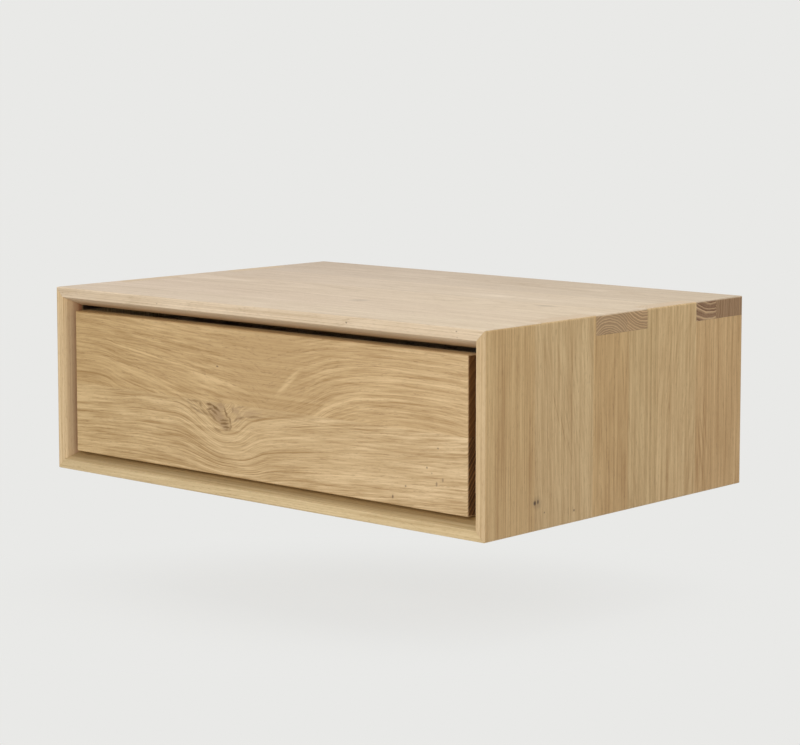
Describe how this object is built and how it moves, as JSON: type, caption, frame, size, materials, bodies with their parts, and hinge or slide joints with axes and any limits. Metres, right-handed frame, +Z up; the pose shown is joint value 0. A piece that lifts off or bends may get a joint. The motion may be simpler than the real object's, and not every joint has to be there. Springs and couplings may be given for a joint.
{
  "type": "floating nightstand",
  "caption": "Low wall-hung oak nightstand: a mitred and finger-jointed case with a bevelled frame round one handle-less drawer on concealed full-extension runners.",
  "frame": {"origin": "middle of the wall cleat's rear face, which lies on the wall", "axes": "+X to the right seen from the front, +Y into the wall, +Z up; the drawer opens towards -Y"},
  "size_m": [0.55, 0.38, 0.18],
  "materials": {
    "oak_case": "edge-glued solid oak, sanded and oiled matt",
    "oak_drawer": "solid oak, sanded and oiled matt",
    "beech": "sanded, bare",
    "birch_ply": "sanded plywood, bare",
    "zinc_steel": "zinc-plated sheet",
    "ball_steel": "bright steel, lightly greased",
    "grey_plastic": "moulded, fine matt",
    "orange_plastic": "moulded, fine matt",
    "black_rubber": "matt"
  },
  "bodies": {
    "case": {"top_panel": "oak_case", "bottom_panel": "oak_case", "left_side": "oak_case", "right_side": "oak_case", "left_mitre_tongue": "birch_ply", "right_mitre_tongue": "birch_ply", "back_panel": "birch_ply", "hanging_rail": "beech", "wall_cleat": "beech", "spacer_batten": "beech", "left_upper_rail_dowel": "beech", "left_lower_rail_dowel": "beech", "left_batten_dowel": "beech", "right_upper_rail_dowel": "beech", "right_lower_rail_dowel": "beech", "right_batten_dowel": "beech", "left_cabinet_profile": "zinc_steel", "right_cabinet_profile": "zinc_steel", "left_runner_screw_1": "zinc_steel", "left_runner_screw_2": "zinc_steel", "left_runner_screw_3": "zinc_steel", "right_runner_screw_1": "zinc_steel", "right_runner_screw_2": "zinc_steel", "right_runner_screw_3": "zinc_steel", "push_latch_housing": "grey_plastic", "push_latch_spring": "zinc_steel", "push_latch_screw_1": "zinc_steel", "push_latch_screw_2": "zinc_steel"},
    "drawer": {"drawer_front": "oak_drawer", "drawer_left_side": "beech", "drawer_right_side": "beech", "drawer_back": "beech", "drawer_bottom": "birch_ply", "drawer_bottom_screw_1": "zinc_steel", "drawer_bottom_screw_2": "zinc_steel", "drawer_bottom_screw_3": "zinc_steel", "left_drawer_profile": "zinc_steel", "right_drawer_profile": "zinc_steel", "left_lock_body": "grey_plastic", "right_lock_body": "grey_plastic", "left_lock_screw_1": "zinc_steel", "left_lock_screw_2": "zinc_steel", "right_lock_screw_1": "zinc_steel", "right_lock_screw_2": "zinc_steel"},
    "latch_plunger": {"push_latch_plunger": "grey_plastic", "push_latch_tip": "black_rubber"},
    "left_middle": {"left_middle_profile": "zinc_steel"},
    "left_lower_cage": {"left_lower_ball_cage": "ball_steel"},
    "left_upper_cage": {"left_upper_ball_cage": "ball_steel"},
    "left_lever": {"left_release_lever": "orange_plastic"},
    "right_middle": {"right_middle_profile": "zinc_steel"},
    "right_lower_cage": {"right_lower_ball_cage": "ball_steel"},
    "right_upper_cage": {"right_upper_ball_cage": "ball_steel"},
    "right_lever": {"right_release_lever": "orange_plastic"}
  },
  "joints": [
    {"name": "drawer_slide", "type": "slide", "parent": "case", "child": "drawer", "axis": [0, -1, 0], "range_m": [0, 0.27]},
    {"name": "left_middle_slide", "type": "slide", "parent": "case", "child": "left_middle", "axis": [0, -1, 0], "range_m": [0, 0.135]},
    {"name": "left_lower_cage_slide", "type": "slide", "parent": "case", "child": "left_lower_cage", "axis": [0, -1, 0], "range_m": [0, 0.0675]},
    {"name": "left_upper_cage_slide", "type": "slide", "parent": "case", "child": "left_upper_cage", "axis": [0, -1, 0], "range_m": [0, 0.2025]},
    {"name": "right_middle_slide", "type": "slide", "parent": "case", "child": "right_middle", "axis": [0, -1, 0], "range_m": [0, 0.135]},
    {"name": "right_lower_cage_slide", "type": "slide", "parent": "case", "child": "right_lower_cage", "axis": [0, -1, 0], "range_m": [0, 0.0675]},
    {"name": "right_upper_cage_slide", "type": "slide", "parent": "case", "child": "right_upper_cage", "axis": [0, -1, 0], "range_m": [0, 0.2025]},
    {"name": "left_release_lever_swing", "type": "hinge", "parent": "drawer", "child": "left_lever", "pos_m": [-0.2004, -0.3345, -0.0605], "axis": [0, 0, -1], "range_deg": [0, 8], "stiffness_Nm_per_rad": 0.04},
    {"name": "right_release_lever_swing", "type": "hinge", "parent": "drawer", "child": "right_lever", "pos_m": [0.2004, -0.3345, -0.0605], "axis": [0, 0, 1], "range_deg": [0, 8], "stiffness_Nm_per_rad": 0.04},
    {"name": "push_latch_press", "type": "slide", "parent": "case", "child": "latch_plunger", "axis": [0, 1, 0], "range_m": [0, 0.003], "stiffness_N_per_m": 600, "deforming": ["push_latch_spring"]}
  ],
  "couplings": [
    {"joint": "left_middle_slide", "follows": "drawer_slide", "ratio": 0.5},
    {"joint": "left_lower_cage_slide", "follows": "drawer_slide", "ratio": 0.25},
    {"joint": "left_upper_cage_slide", "follows": "drawer_slide", "ratio": 0.75},
    {"joint": "right_middle_slide", "follows": "drawer_slide", "ratio": 0.5},
    {"joint": "right_lower_cage_slide", "follows": "drawer_slide", "ratio": 0.25},
    {"joint": "right_upper_cage_slide", "follows": "drawer_slide", "ratio": 0.75}
  ]
}
